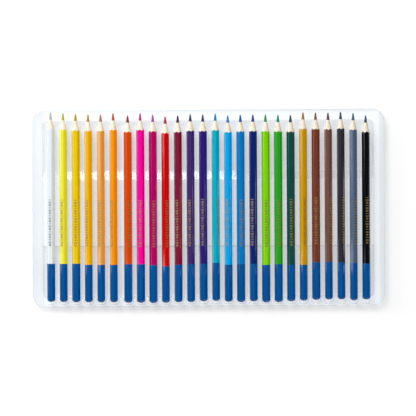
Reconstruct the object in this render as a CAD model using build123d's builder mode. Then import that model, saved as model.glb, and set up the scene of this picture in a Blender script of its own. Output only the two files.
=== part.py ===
from build123d import *
import os
from math import cos, radians, tan

# Tray of 26 watercolour pencils: the clear thermoformed insert of an art set, with every
# pencil lying in its own slot, sharpened end toward +Y and dipped end toward -Y.
# Millimetres, +Z up. The origin is the middle of the footprint, on the table.

# Pencil
pencil_length = 176.0
pencil_flats = 7.2
hex_sides = 6
cone_half_angle = 14.0
lead_half_angle = 7.8
lead_diameter = 3.0
lead_tip_diameter = 1.2
lead_fit = 0.05
end_wall = 2.6
dip_length = 35.4
dip_coat = 0.1
dome_steps = [(1.0, 2.1), (1.2, 0.9)]
round_sides = 18

# Slots
slot_pitch = 11.8
left_count = 6
wide_rib_extra = 1.9
slot_clearance = 0.25
slot_depth = 2.0
slot_sides = 12

# Tray
sheet = 0.6
tray_height = 10.0
tray_corner = 12.0
skirt_draft = 4.0
rim_round = 1.0
side_margin = 18.55
tip_room = 7.3
notch_gap = 0.4
notch_rim = 3.3

# Recess in the tray
rim_side = 11.0
rim_upper = 11.0
rim_lower = 9.1
recess_corner = 4.8
recess_draft = 6.0
recess_lip = 0.8

# Support bar across the recess
bar_drop = 1.2
bar_lower_y = -35.6
bar_upper_y = 27.0
bar_back_draft = 10.0
bar_ramp_run = 8.4
bar_bevel = 1.2

# Each pencil: colour, roll of its top edge toward +X in degrees, how far it has slid from
# the notch wall toward the tips, and how much sharpening left it longer than the usual length
pencils = [
    ("white", 18, 2.1, 2.5),
    ("lemon", -3, 1.9, 2.0),
    ("yellow", 25, 1.6, 1.5),
    ("golden", 2, 1.5, 1.0),
    ("apricot", -8, 1.4, 1.0),
    ("orange_yellow", -2, 1.4, 2.0),
    ("orange_red", -16, 0.9, 0.5),
    ("hot_pink", 25, 0.8, 2.5),
    ("magenta", -19, 0.4, 1.5),
    ("red", -3, 0.7, -0.5),
    ("maroon", 0, 1.1, 0.0),
    ("violet", -12, 1.2, 1.0),
    ("indigo", -18, 1.9, 0.0),
    ("turquoise", 26, 2.2, 0.5),
    ("light_blue", 10, 1.3, -0.5),
    ("blue", -24, 0.9, 0.5),
    ("navy", -22, 1.6, 0.0),
    ("lime", -28, 0.5, 1.0),
    ("green", -10, 0.7, 0.5),
    ("dark_green", -27, 1.4, -0.5),
    ("ochre", 1, 2.0, 1.5),
    ("red_brown", 29, 2.7, 0.5),
    ("brown", 3, 3.0, 0.0),
    ("black_brown", 5, 3.1, 0.5),
    ("slate", -28, 2.0, 0.5),
    ("black", -5, 2.8, -2.5),
]

# What follows from those sizes
flat_down = 180 / hex_sides
pencil_reach = (pencil_flats / 2 + dip_coat) / cos(radians(180 / hex_sides))
slot_radius = pencil_reach + slot_clearance
axis_height = tray_height - slot_depth + slot_radius
tray_width = notch_rim + notch_gap + pencil_length + tip_room
notch_y = notch_rim - tray_width / 2
butt_y = notch_y + notch_gap
slot_span = (len(pencils) - 1) * slot_pitch + wide_rib_extra
tray_length = slot_span + 2 * side_margin
recess_length = tray_length - 2 * rim_side
recess_low_y = rim_lower - tray_width / 2
recess_high_y = tray_width / 2 - rim_upper
bar_top = tray_height - bar_drop
cone_length = (pencil_reach - lead_diameter / 2) / tan(radians(cone_half_angle))
point_length = (lead_diameter - lead_tip_diameter) / 2 / tan(radians(lead_half_angle))
cone_drop = cone_length + point_length
slot_x = [
    i * slot_pitch + (wide_rib_extra if i >= left_count else 0) - slot_span / 2
    for i in range(len(pencils))
]


def slot_cutter(inset):
    """Every slot: a round trough from the notch wall up past the ramp of the support bar."""
    with BuildPart() as troughs:
        for x in slot_x:
            with BuildSketch(Plane((x, notch_y - inset, axis_height), (-1, 0, 0), (0, 1, 0))):
                RegularPolygon(
                    slot_radius + inset, slot_sides, major_radius=False, rotation=180 / slot_sides
                )
            extrude(amount=bar_upper_y + bar_ramp_run - notch_y)
    return troughs.part


def mould(inset):
    """Solid under the sheet's upper face, or under its lower face if inset by the sheet."""
    top = tray_height - inset
    grow = 2 * inset
    with BuildSketch(Plane.YZ) as bar_section:
        with BuildLine():
            foot = -bar_ramp_run
            back = tan(radians(bar_back_draft))
            ramp = bar_ramp_run / (bar_top - sheet)
            Polyline(
                (bar_lower_y - back * (bar_top - foot), foot),
                (bar_lower_y, bar_top),
                (bar_upper_y, bar_top),
                (bar_upper_y + ramp * (bar_top - foot), foot),
                close=True,
            )
        make_face()
        chamfer(bar_section.vertices().group_by(Axis.Y)[-1], bar_bevel)
        if inset:
            offset(amount=-inset)
        with Locations(((bar_lower_y + bar_upper_y) / 2, foot / 2)):
            Rectangle(recess_length, -foot, mode=Mode.SUBTRACT)
    with BuildPart() as form:
        with BuildSketch():
            RectangleRounded(tray_length - grow, tray_width - grow, tray_corner - inset)
        extrude(amount=top, taper=skirt_draft)
        rim_edge = form.faces().sort_by(Axis.Z)[-1].edges()
        if inset:
            chamfer(rim_edge, rim_round - inset)
        else:
            fillet(rim_edge, rim_round)
        with BuildSketch(Plane.XY.offset(top)):
            with Locations((0, (recess_low_y + recess_high_y) / 2)):
                RectangleRounded(
                    recess_length + grow,
                    recess_high_y - recess_low_y + grow,
                    recess_corner + inset,
                )
        depth = top if inset else top - sheet
        extrude(amount=-depth, taper=recess_draft, mode=Mode.SUBTRACT)
        rim_face = form.faces().filter_by(Axis.Z).sort_by(Axis.Z)[-1]
        chamfer(rim_face.inner_wires().edges(), recess_lip)
        extrude(bar_section.sketch, amount=recess_length / 2 + inset, both=True)
        add(slot_cutter(inset), mode=Mode.SUBTRACT)
    return form.part


def rounding(length):
    """Many-sided bar round an upright pencil, domed at its foot and sharpened at its top."""
    with BuildPart() as bar:
        with BuildSketch():
            RegularPolygon(pencil_reach, round_sides, major_radius=False)
        extrude(amount=length - cone_drop)
        for across, back in dome_steps:
            end = bar.faces().sort_by(Axis.Z)[0]
            chamfer(end.edges(), across, back, reference=end)
        with BuildSketch(Plane.XY.offset(length - cone_drop)):
            RegularPolygon(pencil_reach, round_sides, major_radius=False)
        extrude(amount=cone_length, taper=cone_half_angle)
    return bar.part


def upright_casing(length):
    """Lacquered hexagonal wood with its sharpened cone, lead bore and dipped round end."""
    with BuildPart() as casing:
        with BuildSketch():
            RegularPolygon(pencil_flats / 2, hex_sides, major_radius=False, rotation=flat_down)
        extrude(amount=length)
        with BuildSketch():
            RegularPolygon(pencil_flats / 2 + dip_coat, hex_sides, major_radius=False, rotation=flat_down)
        extrude(amount=dip_length)
        add(rounding(length), mode=Mode.INTERSECT)
        with BuildSketch(Plane.XY.offset(end_wall)):
            RegularPolygon(lead_diameter / 2 + lead_fit, round_sides, major_radius=False)
        extrude(amount=length, mode=Mode.SUBTRACT)
    return casing.part


def upright_lead(length):
    """Colour core from the end wall of its bore to the sharpened point."""
    with BuildPart() as lead:
        with BuildSketch(Plane.XY.offset(end_wall)):
            RegularPolygon(lead_diameter / 2, round_sides, major_radius=False)
        extrude(amount=length - point_length - end_wall)
        with BuildSketch(Plane.XY.offset(length - point_length)):
            RegularPolygon(lead_diameter / 2, round_sides, major_radius=False)
        extrude(amount=point_length, taper=lead_half_angle)
    return lead.part


os.makedirs("parts", exist_ok=True)

with BuildPart() as tray:
    add(mould(0))
    add(mould(sheet), mode=Mode.SUBTRACT)
tray.part.label = "tray"
export_step(tray.part, "parts/tray.step")

lengths = {pencil_length + longer for colour, roll, slide, longer in pencils}
woods = {length: upright_casing(length) for length in lengths}
cores = {length: upright_lead(length) for length in lengths}
for x, (colour, roll, slide, longer) in zip(slot_x, pencils):
    lying = Location((x, butt_y + slide, axis_height), (-90, 0, roll))
    with BuildPart() as casing:
        with Locations(lying):
            add(woods[pencil_length + longer])
    casing.part.label = f"casing_{colour}"
    export_step(casing.part, f"parts/casing_{colour}.step")
    with BuildPart() as lead:
        with Locations(lying):
            add(cores[pencil_length + longer])
    lead.part.label = f"lead_{colour}"
    export_step(lead.part, f"parts/lead_{colour}.step")
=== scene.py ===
import math
from bisect import bisect_right

import bmesh
import bpy
from mathutils import Matrix, Vector


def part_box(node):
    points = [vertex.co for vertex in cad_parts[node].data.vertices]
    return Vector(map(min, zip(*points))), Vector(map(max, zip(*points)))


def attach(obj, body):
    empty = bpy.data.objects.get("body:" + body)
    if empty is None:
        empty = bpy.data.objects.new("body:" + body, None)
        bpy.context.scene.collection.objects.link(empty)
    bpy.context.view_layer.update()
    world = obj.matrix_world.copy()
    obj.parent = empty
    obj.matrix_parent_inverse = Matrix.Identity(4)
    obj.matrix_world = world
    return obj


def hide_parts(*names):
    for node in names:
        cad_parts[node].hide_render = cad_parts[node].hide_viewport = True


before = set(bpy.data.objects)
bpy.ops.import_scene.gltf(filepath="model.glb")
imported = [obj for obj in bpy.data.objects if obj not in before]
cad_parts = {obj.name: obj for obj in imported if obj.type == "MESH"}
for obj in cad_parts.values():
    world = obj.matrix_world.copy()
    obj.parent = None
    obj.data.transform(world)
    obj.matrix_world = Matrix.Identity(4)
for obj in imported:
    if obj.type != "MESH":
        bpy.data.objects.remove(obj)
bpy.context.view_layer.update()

# The camera hangs straight above the tray with a long lens, so the pencils show no sides.
# It is turned a hair, because the tray lay a hair askew under it.
VIEW_WIDTH = 0.3923
LENS = 200.0
SENSOR = 36.0
RIM_HEIGHT = 0.010
CAMERA_SHIFT = -0.0004
CAMERA_TURN = math.radians(-0.30)


def shown(name, data):
    """A new object of this name in the scene."""
    made = bpy.data.objects.new(name, data)
    bpy.context.scene.collection.objects.link(made)
    return made


lens_data = bpy.data.cameras.new("photo_camera")
lens_data.sensor_width = SENSOR
lens_data.lens = LENS
camera = shown("photo_camera", lens_data)
camera.location = (CAMERA_SHIFT, 0.0, RIM_HEIGHT + VIEW_WIDTH * LENS / SENSOR)
camera.rotation_euler = (0, 0, CAMERA_TURN)
bpy.context.scene.camera = camera
bpy.context.scene.view_settings.view_transform = "Standard"

# The floor is a seamless sheet of pale paper. The camera sees it as plain white, with the
# soft shadow that falls below and to the right of the tray, and a painted pool of light
# under the clear tray's footprint that stands in for the light the tray gathers on it.
FLOOR_SIZE = 6.0
FLOOR_DROP = 0.0002
FLOOR_TONE = 0.71
FLOOR_MOTTLE = 0.004
MOTTLE_SCALE = 30.0
FLOOR_LIFT = 0.40
# Painted light: the floor is painted brighter by this much inside these bounds, under the tray
GLOW = 0.20
GLOW_LEFT = -0.155
GLOW_RIGHT = 0.162
GLOW_LOW = -0.0925
GLOW_HIGH = 0.0915
GLOW_EDGE = 0.002


class Wire:
    """A socket in a material: sums on it add Math nodes, and node() adds any other."""

    def __init__(self, tree, socket=None):
        self.tree = tree
        self.socket = socket

    def node(self, kind, settings, inputs, output=0):
        """A new node of this kind, with its settings made before its sockets."""
        made = self.tree.nodes.new(kind)
        for name, value in settings.items():
            setattr(made, name, value)
        for name, value in inputs.items():
            if isinstance(value, Wire):
                self.tree.links.new(value.socket, made.inputs[name])
            else:
                made.inputs[name].default_value = value
        return Wire(self.tree, made.outputs[output])

    def feed(self, node, name):
        """Leads this value into a socket of a node that is already there."""
        self.tree.links.new(self.socket, node.inputs[name])

    def maths(self, operation, *others):
        """A Math node on this value and the others."""
        return self.node("ShaderNodeMath", {"operation": operation}, dict(enumerate((self, *others))))

    def __add__(self, other):
        return self.maths("ADD", other)

    def __mul__(self, other):
        return self.maths("MULTIPLY", other)

    __radd__ = __add__
    __rmul__ = __mul__

    def between(self, low, high):
        """0 below low, 1 above high, smooth between."""
        return self.node("ShaderNodeMapRange", {"interpolation_type": "SMOOTHSTEP"},
                         {"Value": self, "From Min": low, "From Max": high})

    def pick(self, colour_at_0, colour_at_1):
        """A colour between two colours, by this value."""
        return self.node("ShaderNodeMix", {"data_type": "RGBA"},
                         {0: self, 6: colour_at_0, 7: colour_at_1}, 2)

    def moved(self, by):
        """This place, moved by a vector."""
        return self.node("ShaderNodeVectorMath", {"operation": "ADD"}, {0: self, 1: by})

    def scaled(self, by):
        """This place, stretched along each axis."""
        return self.node("ShaderNodeVectorMath", {"operation": "MULTIPLY"}, {0: self, 1: by})

    def clouds(self, scale, detail):
        """Cloudy noise from 0 to 1 at this place."""
        return self.node("ShaderNodeTexNoise", {},
                         {"Vector": self, "Scale": scale, "Detail": detail}, "Fac")


def grey(tone):
    """A plain grey, as the linear colour that a shader takes."""
    return (tone, tone, tone, 1.0)


def on_piece(tree):
    """Where a point lies on its own piece, in metres."""
    return Wire(tree).node("ShaderNodeTexCoord", {}, {}, "Object")


half = FLOOR_SIZE / 2
floor_mesh = bpy.data.meshes.new("floor")
floor_mesh.from_pydata([(-half, -half, 0), (half, -half, 0), (half, half, 0), (-half, half, 0)],
                       [], [(0, 1, 2, 3)])
floor = shown("floor", floor_mesh)
floor.location = (0, 0, -FLOOR_DROP)

floor_paper = bpy.data.materials.new("floor_paper")
floor_paper.use_nodes = True
tree = floor_paper.node_tree
tree.nodes.remove(tree.nodes["Principled BSDF"])
straight = Wire(tree).node("ShaderNodeLightPath", {}, {}, "Is Camera Ray")
mirrored = Wire(tree).node("ShaderNodeLightPath", {}, {}, "Is Glossy Ray")
through = Wire(tree).node("ShaderNodeLightPath", {}, {}, "Is Transmission Ray")
seen = straight.maths("MAXIMUM", mirrored.maths("MAXIMUM", through))
mottle = Wire(tree).node("ShaderNodeTexNoise", {}, {"Scale": MOTTLE_SCALE}, "Fac")
paper = mottle.pick(grey(FLOOR_TONE - FLOOR_MOTTLE), grey(FLOOR_TONE + FLOOR_MOTTLE))
lit = Wire(tree).node("ShaderNodeBsdfDiffuse", {}, {"Color": paper})
spot = on_piece(tree)
at_x = spot.node("ShaderNodeSeparateXYZ", {}, {0: spot}, "X")
at_y = spot.node("ShaderNodeSeparateXYZ", {}, {0: spot}, "Y")
# A painted pool of light: where the floor glows brighter, inside the tray's footprint
painted_light_pool = (at_x.between(GLOW_LEFT - GLOW_EDGE, GLOW_LEFT + GLOW_EDGE)
            * at_x.between(GLOW_RIGHT + GLOW_EDGE, GLOW_RIGHT - GLOW_EDGE)
            * at_y.between(GLOW_LOW - GLOW_EDGE, GLOW_LOW + GLOW_EDGE)
            * at_y.between(GLOW_HIGH + GLOW_EDGE, GLOW_HIGH - GLOW_EDGE))
lift = Wire(tree).node("ShaderNodeEmission", {}, {
    "Color": grey(1.0), "Strength": seen * (painted_light_pool * GLOW + FLOOR_LIFT)})
both = Wire(tree).node("ShaderNodeAddShader", {}, {0: lit, 1: lift})
both.feed(tree.nodes["Material Output"], "Surface")
floor_mesh.materials.append(floor_paper)

# The main light is a large soft box high above the tips and a little to the left. A window
# on each side and a card behind and in front put the streaks on lacquer and plastic. The
# shadows are filled by a grey room, white to the camera alone and darker in reflections.
ROOM_LIGHT = 0.24
ROOM_GLOSS = 0.10


def soft_box(name, place, wide, tall, watts):
    """A flat lamp that faces the middle of the tray."""
    data = bpy.data.lights.new(name, "AREA")
    data.shape = "RECTANGLE"
    data.size = wide
    data.size_y = tall
    data.energy = watts
    lamp = shown(name, data)
    lamp.location = place
    lamp.rotation_euler = (-Vector(place)).to_track_quat("-Z", "Y").to_euler()
    lamp.visible_camera = False


soft_box("key_box", place=(-0.44, 0.68, 1.20), wide=0.60, tall=0.60, watts=12.0)
soft_box("left_window", place=(-1.00, 0.34, 0.40), wide=0.60, tall=0.60, watts=4.8)
soft_box("right_window", place=(0.92, 0.01, 0.13), wide=0.06, tall=0.20, watts=0.2)
soft_box("front_card", place=(0.35, -0.90, 0.42), wide=0.50, tall=0.30, watts=3.2)
soft_box("back_card", place=(-0.08, 1.00, 0.12), wide=0.24, tall=0.24, watts=2.5)

room = bpy.data.worlds.new("studio")
room.use_nodes = True
bpy.context.scene.world = room
tree = room.node_tree
seen = Wire(tree).node("ShaderNodeLightPath", {}, {}, "Is Camera Ray")
mirrored = Wire(tree).node("ShaderNodeLightPath", {}, {}, "Is Glossy Ray")
strength = seen * (1 - ROOM_LIGHT) + mirrored * (ROOM_GLOSS - ROOM_LIGHT) + ROOM_LIGHT
walls = tree.nodes["Background"]
walls.inputs["Color"].default_value = grey(1.0)
strength.feed(walls, "Strength")

# The tray is one sheet of clear plastic, 0.6 mm thick, drawn down hot over a mould. Its
# skirt and recess walls lean a few degrees so that it leaves the mould, and every edge of
# the mould shows as a soft round. From here on lengths are in millimetres.
SHEET = 0.6
TRAY_CORNER = 12.0
TRAY_TOP = 10.0
SKIRT_LEAN = math.radians(4.0)
SKIRT_LINES = (3.0, 6.0)
RIM_ROUND = 1.0
SIDE_RIM = 11.0
UPPER_RIM = 11.0
LOWER_RIM = 9.1
RECESS_CORNER = 4.8
RECESS_LEAN = math.radians(6.0)
LIP_ROUND = 1.0
FOOT_ROUND = 1.0
FLOOR_TOP = 0.6
FOOT_ROOM = 0.4
NOTCH_RIM = 3.3
NOTCH_WALL = 0.5
BAR_TOP = 8.8
BAR_LOWER = -35.6
BAR_UPPER = 27.0
BAR_BACK_LEAN = math.radians(10.0)
BAR_RAMP = 8.4
BAR_ROUND = 1.4
RAMP_TOP_ROUND = 2.2
RAMP_FOOT_ROUND = 1.6
BAR_RUN_OUT = 4.0
SLOT_PITCH = 11.8
WIDE_RIB = 1.9
LEFT_SLOTS = 6
SLOTS = 26
SLOT_RADIUS = 4.522
SLOT_AXIS = 12.522
SLOT_END = BAR_UPPER + BAR_RAMP + 1.0
EDGE_BLEND = 0.45

tray_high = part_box("tray")[1]
half_length = tray_high.x * 1000
half_width = tray_high.y * 1000
slot_span = (SLOTS - 1) * SLOT_PITCH + WIDE_RIB
slot_x = [i * SLOT_PITCH + (WIDE_RIB if i >= LEFT_SLOTS else 0) - slot_span / 2 for i in range(SLOTS)]


def steps(low, high, count):
    """count + 1 even steps from low to high."""
    return [low + (high - low) * i / count for i in range(count + 1)]


# Rings round the tray, from its foot over the rim and down to the recess floor: how far in
# from the edge, as a length and a share of the rim's width, how high, and how round at the
# corners. On the flat rim they stand close together where the notch walls cross it.
RIM_SHARES = (0.09, 0.16, 0.175, 0.19, 0.205, 0.22, 0.25, 0.31, 0.41, 0.52, 0.63, 0.74, 0.85, 0.94)
WELL_RINGS = ((0.7, 1.6), (1.4, 0.5))
RIM_STEPS = 7
LIP_STEPS = 6
WALL_STEPS = 7
FOOT_STEPS = 4
rings = [(0.0, 0.0, 0.0, TRAY_CORNER)]
for z in SKIRT_LINES:
    inset = z * math.tan(SKIRT_LEAN)
    rings.append((inset, 0.0, z, TRAY_CORNER - inset))
rim_start = (TRAY_TOP - RIM_ROUND) * math.tan(SKIRT_LEAN) + RIM_ROUND / math.cos(SKIRT_LEAN)
for turn in steps(SKIRT_LEAN, math.pi / 2, RIM_STEPS):
    inset = rim_start - RIM_ROUND * math.cos(turn)
    rings.append((inset, 0.0, TRAY_TOP - RIM_ROUND + RIM_ROUND * math.sin(turn), TRAY_CORNER - inset))
lip_start = -LIP_ROUND * (1 / math.cos(RECESS_LEAN) - math.tan(RECESS_LEAN))
for share in RIM_SHARES:
    rings.append((rim_start + (lip_start - rim_start) * share, share, TRAY_TOP,
                  (TRAY_CORNER - rim_start) * (1 - share) + (RECESS_CORNER - lip_start) * share))
for turn in steps(math.pi / 2, RECESS_LEAN, LIP_STEPS):
    past = lip_start + LIP_ROUND * math.cos(turn)
    rings.append((past, 1.0, TRAY_TOP - LIP_ROUND + LIP_ROUND * math.sin(turn), RECESS_CORNER - past))
foot_z = FLOOR_TOP + FOOT_ROUND
foot_past = (TRAY_TOP - foot_z) * math.tan(RECESS_LEAN) + FOOT_ROUND / math.cos(RECESS_LEAN)
for z in steps(BAR_TOP, foot_z + FOOT_ROOM, WALL_STEPS):
    past = (TRAY_TOP - z) * math.tan(RECESS_LEAN)
    rings.append((past, 1.0, z, RECESS_CORNER - past))
for turn in steps(RECESS_LEAN, math.pi / 2, FOOT_STEPS):
    past = foot_past - FOOT_ROUND * math.cos(turn)
    rings.append((past, 1.0, foot_z - FOOT_ROUND * math.sin(turn), RECESS_CORNER - past))
for more, corner in WELL_RINGS:
    rings.append((foot_past + more, 1.0, FLOOR_TOP, corner))


def insets(rim):
    """How far in from the edge each ring lies, where the rim has this width."""
    return [inset + share * rim for inset, share, z, corner in rings]


side_in = insets(SIDE_RIM)
upper_in = insets(UPPER_RIM)
lower_in = insets(LOWER_RIM)


def rounded(points, radii, count):
    """The corners of an open line, each turned into an arc of its radius."""
    made = [points[0]]
    for before, corner, after, radius in zip(points, points[1:], points[2:], radii):
        back = (Vector(before) - Vector(corner)).normalized()
        ahead = (Vector(after) - Vector(corner)).normalized()
        opening = back.angle(ahead)
        run = radius / math.tan(opening / 2)
        centre = Vector(corner) + (back + ahead).normalized() * radius / math.sin(opening / 2)
        start = (Vector(corner) + back * run - centre).normalized()
        end = (Vector(corner) + ahead * run - centre).normalized()
        for share in steps(0, 1, count):
            made.append(tuple(centre + start.slerp(end, share) * radius))
    return made + [points[-1]]


# Section through the support bar, which carries the pencils at mid length: a steep back
# toward the dipped ends, a flat top, and a ramp down toward the tips
BAR_STEPS = 6
back_run = (BAR_TOP - FLOOR_TOP) * math.tan(BAR_BACK_LEAN)
bar_line = rounded(
    [(BAR_LOWER - back_run - BAR_RUN_OUT, FLOOR_TOP), (BAR_LOWER - back_run, FLOOR_TOP),
     (BAR_LOWER, BAR_TOP), (BAR_UPPER, BAR_TOP), (BAR_UPPER + BAR_RAMP, FLOOR_TOP),
     (BAR_UPPER + BAR_RAMP + BAR_RUN_OUT, FLOOR_TOP)],
    [FOOT_ROUND, BAR_ROUND, RAMP_TOP_ROUND, RAMP_FOOT_ROUND], BAR_STEPS)
bar_y = [y for y, z in bar_line]
bar_z = [z for y, z in bar_line]


def bar_height(y):
    """Height of the support bar's section at y, or below the floor where there is no bar."""
    i = bisect_right(bar_y, y) - 1
    if i < 0 or i >= len(bar_y) - 1:
        return -TRAY_TOP
    share = (y - bar_y[i]) / (bar_y[i + 1] - bar_y[i])
    return bar_z[i] + (bar_z[i + 1] - bar_z[i]) * share


def trough(x):
    """Height of the round pencil slots at x, or above the tray where there is no slot."""
    off = min(abs(x - centre) for centre in slot_x)
    if off >= SLOT_RADIUS:
        return TRAY_TOP * 2
    return SLOT_AXIS - math.sqrt(SLOT_RADIUS ** 2 - off ** 2)


def lower_of(a, b):
    """The lower of two heights, with the edge between them blended round."""
    near = max(EDGE_BLEND - abs(a - b), 0) / EDGE_BLEND
    return min(a, b) - near * near * EDGE_BLEND / 4


# The lines of the sheet's grid: along each slot, close together at its edges, and across
# the bar and its ramp
SLOT_LINES = (0.9, 1.7, 2.25, 2.6, 2.95, 3.4, 3.8, 4.0)
RAMP_LINES_FROM = 1.5
RAMP_LINES_TO = 1.0
RAMP_STEPS = 8
WELL_MARGIN = 16.0
WELL_STEPS = 16
across_slots = set()
for centre in slot_x:
    across_slots |= {centre} | {centre + side * line for line in SLOT_LINES for side in (-1, 1)}
for left, right in zip(slot_x, slot_x[1:]):
    across_slots.add((left + right) / 2)
lines_x = ([-half_length + inset for inset in side_in] + sorted(across_slots)
           + [half_length - inset for inset in reversed(side_in)])
ramp_y = steps(BAR_UPPER + RAMP_LINES_FROM, BAR_UPPER + BAR_RAMP - RAMP_LINES_TO, RAMP_STEPS)
well_y = [y for y in steps(-half_width + WELL_MARGIN, half_width - WELL_MARGIN, WELL_STEPS)
          if not bar_y[0] < y < bar_y[-1]]
lines_y = ([-half_width + inset for inset in lower_in] + sorted({*bar_y, *ramp_y, *well_y})
           + [half_width - inset for inset in reversed(upper_in)])


def ring_place(i, j):
    """Where the sheet's grid point i, j lies, and how high the plain tray is there."""
    x, y = lines_x[i], lines_y[j]
    across = min(i, len(lines_x) - 1 - i)
    along = min(j, len(lines_y) - 1 - j)
    ring = min(across, along)
    if ring >= len(rings):
        return x, y, FLOOR_TOP
    right = i > len(lines_x) / 2
    top = j > len(lines_y) / 2
    ahead = upper_in if top else lower_in
    corner_x = (half_length - side_in[ring]) * (1 if right else -1)
    corner_y = (half_width - ahead[ring]) * (1 if top else -1)
    to_x = abs(x - corner_x)
    to_y = abs(y - corner_y)
    z, radius = rings[ring][2:]
    # Within a radius of its corner, a ring's points move in onto the round
    gone = max(to_x, to_y)
    if gone < radius:
        turn = math.pi / 4 * (1 - gone / radius)
        low_part = radius * (1 - math.cos(turn))
        long_part = radius * (1 - math.sin(turn))
        inward_x, inward_y = (low_part, long_part) if to_y > to_x else (long_part, low_part)
        x = corner_x + (-inward_x if right else inward_x)
        y = corner_y + (-inward_y if top else inward_y)
    return x, y, z


def sheet_height(x, y, plain):
    """The sheet's upper face: the plain tray, the bar across it, and the slots cut in both."""
    in_recess = abs(x) < half_length - SIDE_RIM + LIP_ROUND
    z = max(plain, bar_height(y)) if in_recess else plain
    notch_y = -half_width + NOTCH_RIM
    # 0 on the strip of the lower rim that stays whole, 1 where the notches are full
    wall = min(max((y - notch_y) / NOTCH_WALL + 0.5, 0), 1)
    wall = wall * wall * (3 - 2 * wall)
    if wall > 0 and y < SLOT_END:
        z += (lower_of(z, trough(x)) - z) * wall
    return z


tray_shape = bmesh.new()
grid = []
for i in range(len(lines_x)):
    column = []
    for j in range(len(lines_y)):
        x, y, plain = ring_place(i, j)
        column.append(tray_shape.verts.new((x / 1000, y / 1000, sheet_height(x, y, plain) / 1000)))
    grid.append(column)
for i in range(len(lines_x) - 1):
    for j in range(len(lines_y) - 1):
        tray_shape.faces.new((grid[i][j], grid[i + 1][j], grid[i + 1][j + 1], grid[i][j + 1]))
bmesh.ops.remove_doubles(tray_shape, verts=tray_shape.verts, dist=1e-6)
tray_mesh = bpy.data.meshes.new("tray_sheet")
tray_shape.to_mesh(tray_mesh)
tray_shape.free()
tray_mesh.shade_smooth()
tray_piece = shown("tray_sheet", tray_mesh)
thickness = tray_piece.modifiers.new("sheet_thickness", "SOLIDIFY")
thickness.thickness = SHEET / 1000
thickness.offset = -1
thickness.use_even_offset = True


def paint(red, green, blue, share=1.0):
    """A colour in the picture's own 0 to 255, as the linear colour that a shader takes."""
    parts = [c / 255 for c in (red, green, blue)]
    linear = [c / 12.92 if c <= 0.04045 else ((c + 0.055) / 1.055) ** 2.4 for c in parts]
    return (*[c * share for c in linear], 1.0)


def principled(name):
    """A new material, its nodes and its main shader."""
    made = bpy.data.materials.new(name)
    made.use_nodes = True
    return made, made.node_tree, made.node_tree.nodes["Principled BSDF"]


# Clear plastic: mostly see-through, more so face on than edgewise, under a gloss that the
# hot pull left faintly wavy
THICK_TINT = (236, 242, 249)
THIN_TINT = (243, 247, 251)
CLEAR_TINT = (0.975, 0.988, 1.0, 1.0)
clear_plastic, tree, gloss = principled("clear_plastic")
here = on_piece(tree)
flow = here.clouds(scale=14.0, detail=3.0)
haze = here.clouds(scale=90.0, detail=4.0)
flow.pick(paint(*THICK_TINT), paint(*THIN_TINT)).feed(gloss, "Base Color")
(haze * 0.10 + 0.06).feed(gloss, "Roughness")
pull = here.node("ShaderNodeBump", {}, {"Height": flow, "Strength": 0.12, "Distance": 0.0015}, "Normal")
pull.feed(gloss, "Normal")
gloss.inputs["IOR"].default_value = 1.57
gloss.inputs["Specular IOR Level"].default_value = 1.0
gloss.inputs["Coat Weight"].default_value = 1.0
gloss.inputs["Coat IOR"].default_value = 1.7
gloss.inputs["Coat Roughness"].default_value = 0.05
edgewise = here.node("ShaderNodeLayerWeight", {}, {"Blend": 0.25}, "Facing")
shows = flow * 0.03 + edgewise * 0.40 + 0.07
clear = here.node("ShaderNodeBsdfTransparent", {}, {"Color": CLEAR_TINT})
mixed = here.node("ShaderNodeMixShader", {}, {0: shows, 1: clear, 2: Wire(tree, gloss.outputs["BSDF"])})
mixed.feed(tree.nodes["Material Output"], "Surface")
tray_mesh.materials.append(clear_plastic)
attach(tray_piece, "tray")
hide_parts("tray")

# A pencil casing is hexagonal wood, turned under several coats of gloss lacquer that round
# its edges. One end is dipped in blue and domed by the dip, the other is sharpened to a
# bare cone, and a line of foil is stamped on one face.
FLATS = 7.2
EDGE_ROUND = 1.0
FULLNESS = 0.42
FULL_RADIUS = 3.75
EDGE_FROM = 3.56
EDGE_TO = 3.74
CORNER_STEPS = 5
FLAT_STEPS = 4
BODY_STEPS = 4
SHARP_ANGLE = math.radians(38)
DIP_COAT = 0.1
DIP_EDGE = 0.25
DIP_COLOUR = (1, 84, 155)
DOME = 2.5
DOME_START = math.radians(84)
DOME_SIDE_POWER = 0.8
DOME_END_POWER = 1.2
DOME_STEPS = 8
CORE_RADIUS = 1.5
TIP_RADIUS = 0.6
POINT_LENGTH = 6.6
CONE_SLOPE = 0.187
CONE_FLARE = 0.006
CONE_STEPS = 5
PALE_WOOD = (252, 241, 224)
WOOD_GRAIN = (232, 206, 170)
WOOD_CLOUD = (246, 230, 204)
PAINT_STEP = 0.07
PAINT_DROP = 0.05
SHOULDER_ROOM = 1.0
BORE_RADIUS = 1.55
BORE_END = 2.6
FOIL_START = 52.3
FOIL_PITCH = 2.5
FOIL_MARKS = 18
FOIL_WIDTH = 2.8
FOIL_COAT = 0.03
FOIL_ROOT = -0.01
LOZENGE_REACH = 1.15
LOZENGE_HOLE = 0.3
BARS_IN_TURN = [(), (-0.8, 0.2), (-0.3,)]
BAR_STROKE = 0.6
GOLD = (184, 152, 80)
SILVER = (140, 143, 140)
SEED_STEP = 0.37
DIP_SEED = 5

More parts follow.
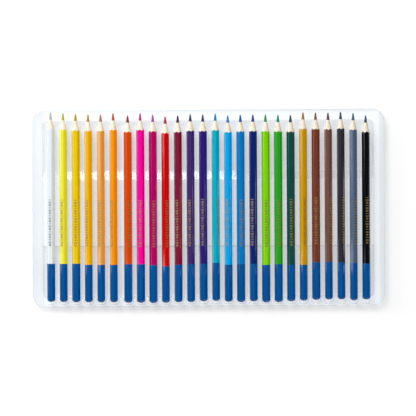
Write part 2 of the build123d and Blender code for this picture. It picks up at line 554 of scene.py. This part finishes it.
# Each pencil: colour, its roll in the slot in degrees, the face that is foil stamped as
# degrees from its top edge, how far it was dipped in millimetres, and its lacquer
PENCILS = [
    ("white", 18, -30, 36.0, (228, 237, 243)),
    ("lemon", 6, -30, 36.0, (236, 231, 48)),
    ("yellow", 25, -30, 36.5, (237, 200, 2)),
    ("golden", 6, -30, 35.5, (242, 178, 4)),
    ("apricot", 0, -30, 35.5, (234, 160, 68)),
    ("orange_yellow", 6, -30, 35.5, (249, 149, 4)),
    ("orange_red", -16, 30, 36.5, (220, 74, 4)),
    ("hot_pink", 25, -30, 36.5, (252, 0, 157)),
    ("magenta", -19, 30, 36.0, (184, 2, 100)),
    ("red", -8, 30, 34.5, (208, 2, 3)),
    ("maroon", 13, -30, 35.5, (132, 22, 56)),
    ("violet", 12, -30, 36.0, (66, 41, 112)),
    ("indigo", 18, -30, 35.5, (44, 22, 122)),
    ("turquoise", 8, 30, 36.0, (2, 174, 198)),
    ("light_blue", 10, -30, 35.0, (2, 168, 236)),
    ("blue", -24, 30, 36.0, (2, 124, 197)),
    ("navy", 12, -30, 35.5, (8, 34, 112)),
    ("lime", -28, 30, 35.5, (131, 217, 4)),
    ("green", -26, 30, 36.0, (40, 166, 32)),
    ("dark_green", -27, 30, 34.5, (12, 77, 70)),
    ("ochre", -12, 30, 34.0, (208, 156, 4)),
    ("red_brown", 29, -30, 35.5, (123, 58, 41)),
    ("brown", 3, 30, 35.5, (116, 78, 67)),
    ("black_brown", 5, 30, 35.0, (50, 47, 54)),
    ("slate", -4, 30, 35.5, (85, 104, 130)),
    ("black", -17, 30, 34.0, (6, 9, 13)),
]


def fuller(point):
    """A point of the hexagon, drawn toward a circle as thick lacquer does."""
    return point * (1 - FULLNESS + FULLNESS * FULL_RADIUS / point.length)


def toward(angle):
    """One unit across the pencil, in this direction."""
    return Vector((math.cos(angle), math.sin(angle)))


def hexagon(flats, edge_round):
    """Points round a hexagon with rounded corners and full sides, with one corner toward -Y.

    Each side falls off a little toward its second corner."""
    corner_at = (flats / 2 - edge_round) / math.cos(math.pi / 6)
    made = []
    for side in range(6):
        middle = math.radians(60 * side - 90)
        turns = [middle + turn for turn in steps(-math.pi / 6, math.pi / 6, CORNER_STEPS)]
        made += [toward(middle) * corner_at + toward(turn) * edge_round for turn in turns]
        next_corner = toward(middle + math.pi / 3) * corner_at
        start = made[-1]
        end = next_corner + toward(middle + math.pi / 3) * edge_round
        made += [start.lerp(end, share) for share in steps(0, 1, FLAT_STEPS)[1:-1]]
    return [fuller(p) for p in made]


def ring_of(shape, outline, heights):
    """One ring of vertices, from points across and a height for each, in millimetres."""
    return [shape.verts.new((p.x / 1000, p.y / 1000, z / 1000)) for p, z in zip(outline, heights)]


def skin(shape, below, above, finish):
    """The band of faces between two rings."""
    for i in range(len(below)):
        face = shape.faces.new((below[i - 1], below[i], above[i], above[i - 1]))
        face.material_index = finish


def cap(shape, ring, finish, up):
    """One face that closes a ring, looking up or down the pencil."""
    face = shape.faces.new(ring if up else list(reversed(ring)))
    face.material_index = finish


def below_tip(radius):
    """How far below the tip of a pencil its sharpened cone has this radius."""
    wide = radius - CORE_RADIUS
    if wide < 0:
        return POINT_LENGTH * (radius - TIP_RADIUS) / (CORE_RADIUS - TIP_RADIUS)
    flared = math.sqrt(CONE_SLOPE ** 2 + 4 * CONE_FLARE * wide)
    return POINT_LENGTH + (flared - CONE_SLOPE) / (2 * CONE_FLARE)


# The finishes of a casing, in the order of its materials
LACQUER, DIP, WOOD, FOIL = range(4)


def add_foil(shape, stamped_face):
    """A running border of an open lozenge, a pair of bars and one bar, along one face."""
    outward = toward(math.radians(stamped_face - 90)).to_3d()
    across = Vector((-outward.y, outward.x, 0))
    made = []

    def stamp(one_side, other_side):
        """One stroke of foil between two lines, each of places across the face and along it."""
        rows = []
        for line in (one_side, other_side):
            for rise in (FOIL_ROOT, FOIL_COAT):
                row = []
                for side, along in line:
                    spot = fuller(Vector((FLATS / 2, side)))
                    place = outward * (spot.x + rise) + across * spot.y + Vector((0, 0, along))
                    row.append(shape.verts.new(place / 1000))
                rows.append(row)
        under, over, far_under, far_over = rows
        loops = [(under[0], over[0], far_over[0], far_under[0]),
                 (under[-1], far_under[-1], far_over[-1], over[-1])]
        for i in range(1, len(under)):
            for near, far in ((over, far_over), (far_over, far_under), (far_under, under), (under, over)):
                loops.append((near[i - 1], near[i], far[i], far[i - 1]))
        made.extend(shape.faces.new(loop) for loop in loops)

    wide = FOIL_WIDTH / 2
    for mark in range(FOIL_MARKS):
        z = FOIL_START + FOIL_PITCH * (mark + 0.5)
        turn = mark % len(BARS_IN_TURN)
        for bar in BARS_IN_TURN[turn]:
            start, end = z + bar, z + bar + BAR_STROKE
            stamp([(-wide, start), (0, start), (wide, start)], [(-wide, end), (0, end), (wide, end)])
        if turn == 0:
            outer = [(-wide, z), (0, z - LOZENGE_REACH), (wide, z), (0, z + LOZENGE_REACH)]
            inner = [(side * LOZENGE_HOLE, z + (along - z) * LOZENGE_HOLE) for side, along in outer]
            for i in range(4):
                stamp([outer[i - 1], outer[i]], [inner[i - 1], inner[i]])
    bmesh.ops.recalc_face_normals(shape, faces=made)
    for face in made:
        face.material_index = FOIL


def casing_shape(length, dipped_to, stamped_face):
    """The casing upright, from its dipped end at 0 to its cone, in millimetres."""
    shape = bmesh.new()
    body = hexagon(FLATS, EDGE_ROUND)
    dipped = hexagon(FLATS + 2 * DIP_COAT, EDGE_ROUND + DIP_COAT)
    count = len(body)
    below = None
    for turn in steps(DOME_START, 0, DOME_STEPS):
        pull_in = math.cos(turn) ** DOME_SIDE_POWER
        roundness = math.sin(turn) ** 2
        outline = [(p * (1 - roundness) + p.normalized() * (FLATS / 2 + DIP_COAT) * roundness) * pull_in
                   for p in dipped]
        ring = ring_of(shape, outline, [DOME * (1 - math.sin(turn) ** DOME_END_POWER)] * count)
        if below:
            skin(shape, below, ring, DIP)
        else:
            cap(shape, ring, DIP, False)
        below = ring
    for z, outline in ((dipped_to / 2, dipped), (dipped_to - DIP_EDGE, dipped), (dipped_to, body)):
        ring = ring_of(shape, outline, [z] * count)
        skin(shape, below, ring, DIP)
        below = ring
    shoulder = length - below_tip(FLATS / 2 / math.cos(math.pi / 6))
    for z in steps(dipped_to, shoulder - SHOULDER_ROOM, BODY_STEPS)[1:]:
        ring = ring_of(shape, body, [z] * count)
        skin(shape, below, ring, LACQUER)
        below = ring
    scallop = [length - below_tip(p.length) for p in body]
    bare = [p * (1 - PAINT_STEP / p.length) for p in body]
    for outline, drop in ((body, 0), (bare, PAINT_DROP)):
        ring = ring_of(shape, outline, [z + drop for z in scallop])
        skin(shape, below, ring, LACQUER)
        below = ring
    for share in steps(0, 1, CONE_STEPS)[1:]:
        cone = [p.normalized() * (p.length + (BORE_RADIUS - p.length) * share) for p in bare]
        ring = ring_of(shape, cone, [length - below_tip(p.length) for p in cone])
        skin(shape, below, ring, WOOD)
        below = ring
    bore = [p.normalized() * BORE_RADIUS for p in body]
    ring = ring_of(shape, bore, [BORE_END] * count)
    skin(shape, below, ring, WOOD)
    cap(shape, ring, WOOD, True)
    for face in shape.faces:
        face.smooth = True
    add_foil(shape, stamped_face)
    return shape


def gloss_paint(name, colour, seed):
    """Gloss lacquer: thinner and paler on the edges, with a faint orange peel."""
    made, tree, surface = principled(name)
    here = on_piece(tree)
    moved = here.moved((seed, seed * 0.7, seed * 0.3))
    flat = here.scaled((1, 1, 0))
    out_by = flat.node("ShaderNodeVectorMath", {"operation": "LENGTH"}, {0: flat}, "Value")
    edge = out_by.between(EDGE_FROM / 1000, EDGE_TO / 1000)
    cloud = moved.clouds(scale=70.0, detail=2.0)
    peel = moved.clouds(scale=900.0, detail=1.0)
    coat = (cloud * 0.6 + edge * 0.5).pick(paint(*colour, share=0.90), paint(*colour, share=1.02))
    coat.feed(surface, "Base Color")
    (cloud * 0.06 + 0.06).feed(surface, "Roughness")
    relief = here.node("ShaderNodeBump", {}, {
        "Height": peel, "Strength": 0.10, "Distance": 0.0002}, "Normal")
    relief.feed(surface, "Normal")
    surface.inputs["IOR"].default_value = 1.45
    surface.inputs["Specular IOR Level"].default_value = 0.35
    return made


def bare_wood(name, seed):
    """Pale wood cut by a sharpener: fine grain along the pencil and fainter rings round it."""
    made, tree, surface = principled(name)
    moved = on_piece(tree).moved((seed, seed * 0.6, seed * 0.8))
    grain = moved.scaled((1, 1, 0.12)).clouds(scale=1600.0, detail=3.0)
    cloud = moved.clouds(scale=160.0, detail=2.0)
    cuts = moved.node("ShaderNodeTexWave", {"bands_direction": "Z"},
                      {"Vector": moved, "Scale": 260.0, "Distortion": 2.0}, "Fac")
    timber = grain.between(0.42, 0.68).pick(paint(*PALE_WOOD), paint(*WOOD_GRAIN))
    (cloud * 0.5).pick(timber, paint(*WOOD_CLOUD)).feed(surface, "Base Color")
    (grain * 0.2 + 0.55).feed(surface, "Roughness")
    relief = moved.node("ShaderNodeBump", {}, {
        "Height": grain * 0.7 + cuts * 0.3, "Strength": 0.35, "Distance": 0.0002}, "Normal")
    relief.feed(surface, "Normal")
    return made


def foil_metal(name, tone):
    """Hot stamped foil, a little worn and uneven where the lacquer shows through."""
    made, tree, surface = principled(name)
    worn = on_piece(tree).clouds(scale=1400.0, detail=3.0)
    worn.between(0.4, 0.75).pick(paint(*tone), paint(*tone, share=0.4)).feed(surface, "Base Color")
    (worn * 0.3 + 0.25).feed(surface, "Roughness")
    surface.inputs["Metallic"].default_value = 0.6
    return made


gold_foil = foil_metal("gold_foil", GOLD)
silver_foil = foil_metal("silver_foil", SILVER)
pencil_place = {}
pencil_length = {}
for number, (colour, roll, stamped, dipped_to, lacquer) in enumerate(PENCILS, 1):
    low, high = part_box(f"casing_{colour}")
    middle = (low + high) / 2
    pencil_length[colour] = (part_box(f"lead_{colour}")[1].y - low.y) * 1000
    pencil_place[colour] = (Matrix.Translation((middle.x, low.y, middle.z))
                            @ Matrix.Rotation(-math.pi / 2, 4, "X")
                            @ Matrix.Rotation(math.radians(roll), 4, "Z"))
    mesh = bpy.data.meshes.new(f"casing_{colour}_lacquered")
    shape = casing_shape(pencil_length[colour], dipped_to, stamped)
    shape.to_mesh(mesh)
    shape.free()
    mesh.set_sharp_from_angle(angle=SHARP_ANGLE)
    seed = SEED_STEP * number
    mesh.materials.append(gloss_paint(f"lacquer_paint_{colour}", lacquer, seed))
    mesh.materials.append(gloss_paint(f"dip_paint_{colour}", DIP_COLOUR, seed + DIP_SEED))
    mesh.materials.append(bare_wood(f"cone_wood_{colour}", seed))
    mesh.materials.append(silver_foil if colour == "white" else gold_foil)
    casing = shown(f"casing_{colour}_lacquered", mesh)
    casing.matrix_world = pencil_place[colour]
    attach(casing, f"pencil_{colour}")
    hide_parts(f"casing_{colour}")

# The core is a round rod of pigment and binder, glued into the casing from the point back
# to the dipped end. The sharpener cuts it to a point that use has blunted.
CORE_SIDES = 28
CORE_GAP = 0.02
BLUNT_SHARE = 0.9
BLUNT_END = math.radians(80)
BLUNT_STEPS = 5
POINT_STEPS = 4
CORE_SHARP_ANGLE = math.radians(50)
CORE_SEED_STEP = 0.53

# The colour of each core, where the sharpener cut it; the white one is painted grey with shade
CORES = {
    # Painted shade: the white core is grey for the shade on its small point, not its own colour
    "white": (186, 190, 192),
    "lemon": (186, 188, 35),
    "yellow": (184, 164, 12),
    "golden": (192, 146, 45),
    "apricot": (186, 124, 100),
    "orange_yellow": (185, 92, 50),
    "orange_red": (150, 40, 32),
    "hot_pink": (186, 58, 116),
    "magenta": (188, 70, 176),
    "red": (170, 30, 45),
    "maroon": (84, 44, 66),
    "violet": (60, 56, 92),
    "indigo": (52, 48, 110),
    "turquoise": (5, 140, 195),
    "light_blue": (10, 124, 204),
    "blue": (14, 88, 180),
    "navy": (46, 54, 148),
    "lime": (60, 150, 70),
    "green": (20, 150, 110),
    "dark_green": (56, 76, 80),
    "ochre": (160, 128, 72),
    "red_brown": (138, 92, 80),
    "brown": (104, 64, 72),
    "black_brown": (72, 72, 88),
    "slate": (84, 108, 120),
    "black": (72, 74, 102),
}


def core_shape(length):
    """The core upright, from the end of its bore to its blunted point, in millimetres."""
    shape = bmesh.new()
    circle = [toward(turn) for turn in steps(0, 2 * math.pi, CORE_SIDES)[:-1]]
    point = length - below_tip(CORE_RADIUS)
    profile = [(CORE_RADIUS, BORE_END + CORE_GAP), (CORE_RADIUS, point / 2), (CORE_RADIUS, point)]
    for radius in steps(CORE_RADIUS, TIP_RADIUS, POINT_STEPS)[1:-1]:
        profile.append((radius, length - below_tip(radius)))
    blunt = TIP_RADIUS * BLUNT_SHARE
    for turn in steps(0, BLUNT_END, BLUNT_STEPS):
        profile.append((TIP_RADIUS * math.cos(turn) + CORE_GAP, length - blunt + blunt * math.sin(turn)))
    below = None
    for radius, z in profile:
        ring = ring_of(shape, [p * radius for p in circle], [z] * CORE_SIDES)
        if below:
            skin(shape, below, ring, 0)
        else:
            cap(shape, ring, 0, False)
        below = ring
    cap(shape, below, 0, True)
    for face in shape.faces:
        face.smooth = True
    return shape


def pigment(name, colour, seed):
    """Pressed pigment: a satin cut surface with fine turning marks and specks."""
    made, tree, surface = principled(name)
    moved = on_piece(tree).moved((seed, seed, seed))
    specks = moved.clouds(scale=2600.0, detail=3.0)
    turned = moved.node("ShaderNodeTexWave", {"bands_direction": "Z"},
                        {"Vector": moved, "Scale": 420.0, "Distortion": 1.5}, "Fac")
    specks.between(0.3, 0.7).pick(paint(*colour), paint(*colour, share=0.80)).feed(surface, "Base Color")
    (specks * 0.25 + 0.40).feed(surface, "Roughness")
    relief = moved.node("ShaderNodeBump", {}, {
        "Height": specks * 0.5 + turned * 0.5, "Strength": 0.3, "Distance": 0.0001}, "Normal")
    relief.feed(surface, "Normal")
    surface.inputs["Specular IOR Level"].default_value = 0.15
    return made


for number, (colour, core_colour) in enumerate(CORES.items(), 1):
    mesh = bpy.data.meshes.new(f"lead_{colour}_pointed")
    shape = core_shape(pencil_length[colour])
    shape.to_mesh(mesh)
    shape.free()
    mesh.set_sharp_from_angle(angle=CORE_SHARP_ANGLE)
    mesh.materials.append(pigment(f"core_pigment_{colour}", core_colour, CORE_SEED_STEP * number))
    lead = shown(f"lead_{colour}_pointed", mesh)
    lead.matrix_world = pencil_place[colour]
    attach(lead, f"pencil_{colour}")
    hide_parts(f"lead_{colour}")
